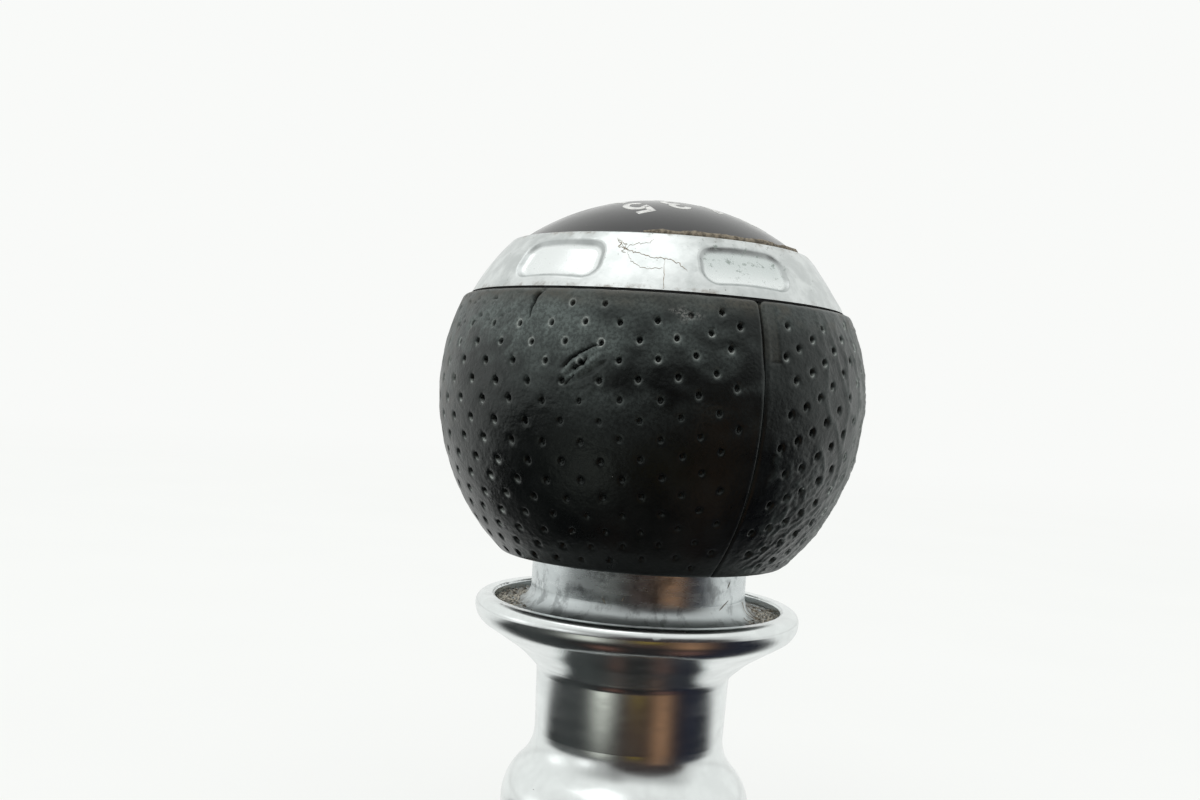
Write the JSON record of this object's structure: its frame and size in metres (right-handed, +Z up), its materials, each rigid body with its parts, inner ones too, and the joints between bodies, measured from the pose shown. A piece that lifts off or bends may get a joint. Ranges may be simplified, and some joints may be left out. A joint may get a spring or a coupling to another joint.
{
  "type": "gear shift knob",
  "caption": "Ball-shaped gear shift knob in perforated leather with a bright finger ring, a domed gear-pattern cap and a sprung aluminium collar that lifts to free reverse.",
  "frame": {"origin": "centre of the collar's foot on the lever axis, in the plane that the part stands on", "axes": "+Z up the lever axis through the ball and cap; -Y towards the front of the car, where the leather's main seam is"},
  "size_m": [0.05, 0.05, 0.0799],
  "materials": {
    "cap_plastic": "black, glossy, with a printed white gear pattern",
    "ring_chrome": "satin chrome, worn and finely cracked",
    "leather": "perforated black leather, worn smooth",
    "core_plastic": "moulded",
    "tube_plastic": "moulded",
    "bush_plastic": "natural moulded plastic",
    "steel": "turned",
    "spring_steel": "oiled spring steel",
    "sleeve_aluminium": "satin anodised, scuffed",
    "collar_aluminium": "polished and anodised"
  },
  "bodies": {
    "knob": {"pattern_cap": "cap_plastic", "trim_ring": "ring_chrome", "leather_left": "leather", "leather_right": "leather", "knob_core": "core_plastic", "lever_bush": "steel", "lever_clip": "spring_steel", "guide_tube": "tube_plastic", "end_circlip": "spring_steel", "return_spring": "spring_steel"},
    "collar": {"lift_sleeve": "sleeve_aluminium", "lift_collar": "collar_aluminium", "upper_bush": "bush_plastic", "lower_bush": "bush_plastic"}
  },
  "joints": [
    {"name": "collar_lift", "type": "slide", "parent": "knob", "child": "collar", "axis": [0, 0, 1], "range_m": [0, 0.0045], "stiffness_N_per_m": 1000, "springref_m": -0.006, "deforming": ["return_spring"]}
  ]
}
